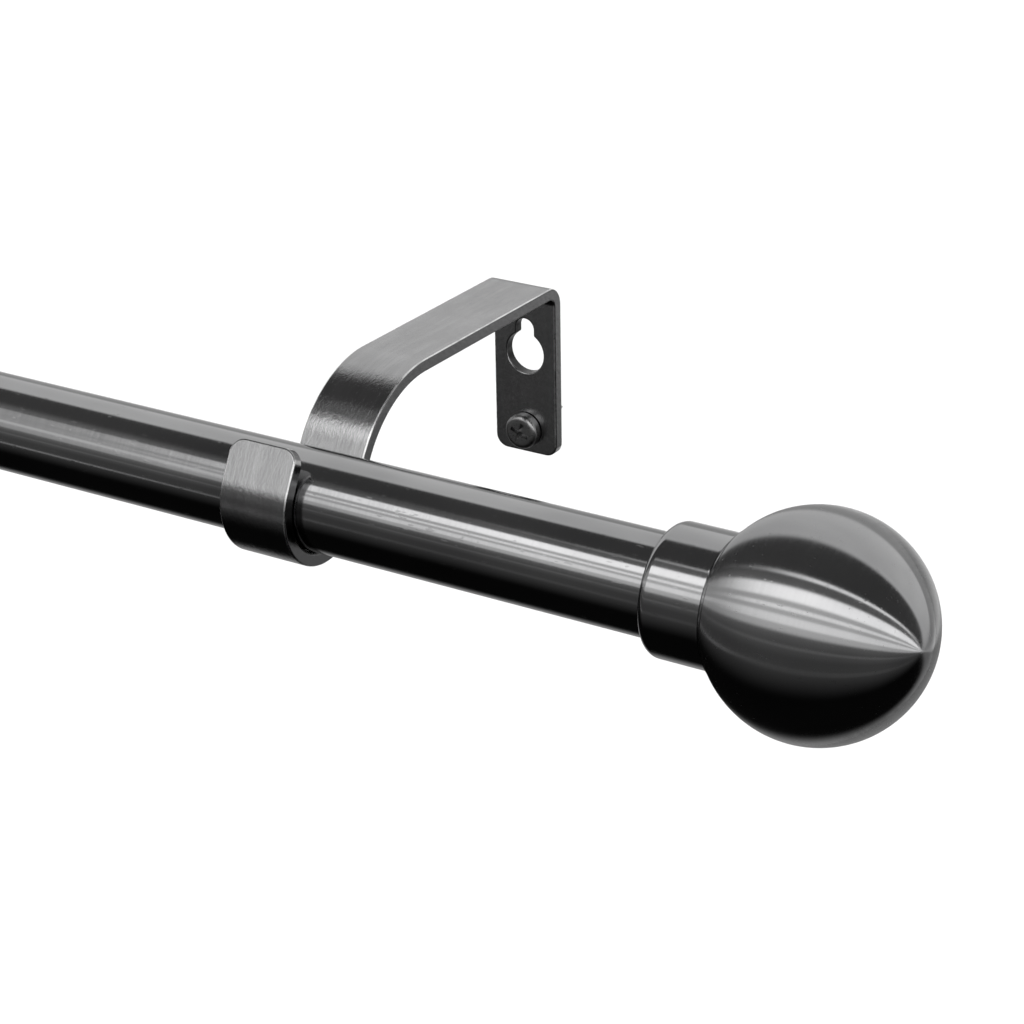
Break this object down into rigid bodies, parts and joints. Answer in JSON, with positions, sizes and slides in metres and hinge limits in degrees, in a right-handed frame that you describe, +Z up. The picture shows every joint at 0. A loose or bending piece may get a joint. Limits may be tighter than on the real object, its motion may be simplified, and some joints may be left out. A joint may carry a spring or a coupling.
{
  "type": "curtain rod with brackets",
  "caption": "Adjustable steel curtain rod in brushed dark nickel with ball finials, lying in hook-shaped strip brackets that screw to the wall.",
  "frame": {"origin": "on the back face of the right-hand bracket's wall plate, on the solid metal between its keyhole and its screw hole, on the plate's centre line", "axes": "+X along the rod to the right-hand finial, +Y into the wall, +Z up"},
  "size_m": [0.7096, 0.1168, 0.0419],
  "materials": {
    "dark_nickel": "brushed dark nickel over steel, satin with bright streaks",
    "black_plastic": "moulded black plastic, satin",
    "zinc_steel": "bright zinc plated"
  },
  "bodies": {
    "brackets": {"bracket_right": "dark_nickel", "bracket_left": "dark_nickel", "wall_screw_right": "dark_nickel", "wall_screw_left": "dark_nickel"},
    "rod": {"outer_tube": "dark_nickel", "mouth_bush": "black_plastic"},
    "extension": {"inner_tube": "dark_nickel", "inner_tube_slider": "black_plastic"},
    "finial_right": {"right_ball": "dark_nickel", "right_ball_nut": "zinc_steel", "right_collar": "dark_nickel", "right_plug": "black_plastic", "right_washer": "zinc_steel", "right_finial_screw": "zinc_steel"},
    "finial_left": {"left_ball": "dark_nickel", "left_ball_nut": "zinc_steel", "left_collar": "dark_nickel", "left_plug": "black_plastic", "left_washer": "zinc_steel", "left_finial_screw": "zinc_steel", "reducer_sleeve": "black_plastic"}
  },
  "joints": [
    {"name": "rod_lift", "type": "slide", "parent": "brackets", "child": "rod", "axis": [0, 0.4695, 0.8829], "range_m": [0, 0.02]},
    {"name": "telescope", "type": "slide", "parent": "rod", "child": "extension", "axis": [-1, 0, 0], "range_m": [-0.012, 0.5]},
    {"name": "right_finial_pull", "type": "slide", "parent": "rod", "child": "finial_right", "axis": [1, 0, 0], "range_m": [0, 0.017]},
    {"name": "left_finial_pull", "type": "slide", "parent": "extension", "child": "finial_left", "axis": [-1, 0, 0], "range_m": [0, 0.017]}
  ]
}
